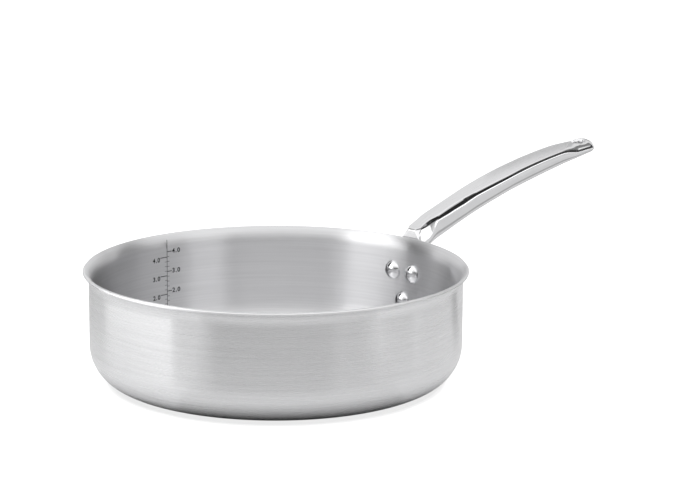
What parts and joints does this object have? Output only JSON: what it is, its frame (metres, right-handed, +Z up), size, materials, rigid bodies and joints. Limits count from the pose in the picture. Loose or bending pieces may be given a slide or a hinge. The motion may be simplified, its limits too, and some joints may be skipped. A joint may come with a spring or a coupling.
{
  "type": "saute pan",
  "caption": "Straight-sided stainless saute pan with a flared pouring lip, bonded three-ply wall and a long arched cast handle riveted to the side.",
  "frame": {"origin": "centre of the flat base, on the surface that the pan stands on", "axes": "+Z up along the pan's axis, +X along the handle from the pan to its tip"},
  "size_m": [0.5162, 0.2948, 0.1412],
  "materials": {
    "outer_steel": "satin stainless, brushed in rings round the pan",
    "core_aluminium": "plain rolled, seen only at the lip's edge",
    "inner_steel": "satin stainless, brushed in rings, with an etched volume scale",
    "cast_steel": "brushed along the top, polished sides, belly and tip",
    "rivet_steel": "polished domes"
  },
  "bodies": {
    "root": {"outer_skin": "outer_steel", "aluminium_core": "core_aluminium", "inner_liner": "inner_steel", "handle": "cast_steel", "rivet_upper_left": "rivet_steel", "rivet_upper_right": "rivet_steel", "rivet_lower": "rivet_steel"}
  },
  "joints": []
}
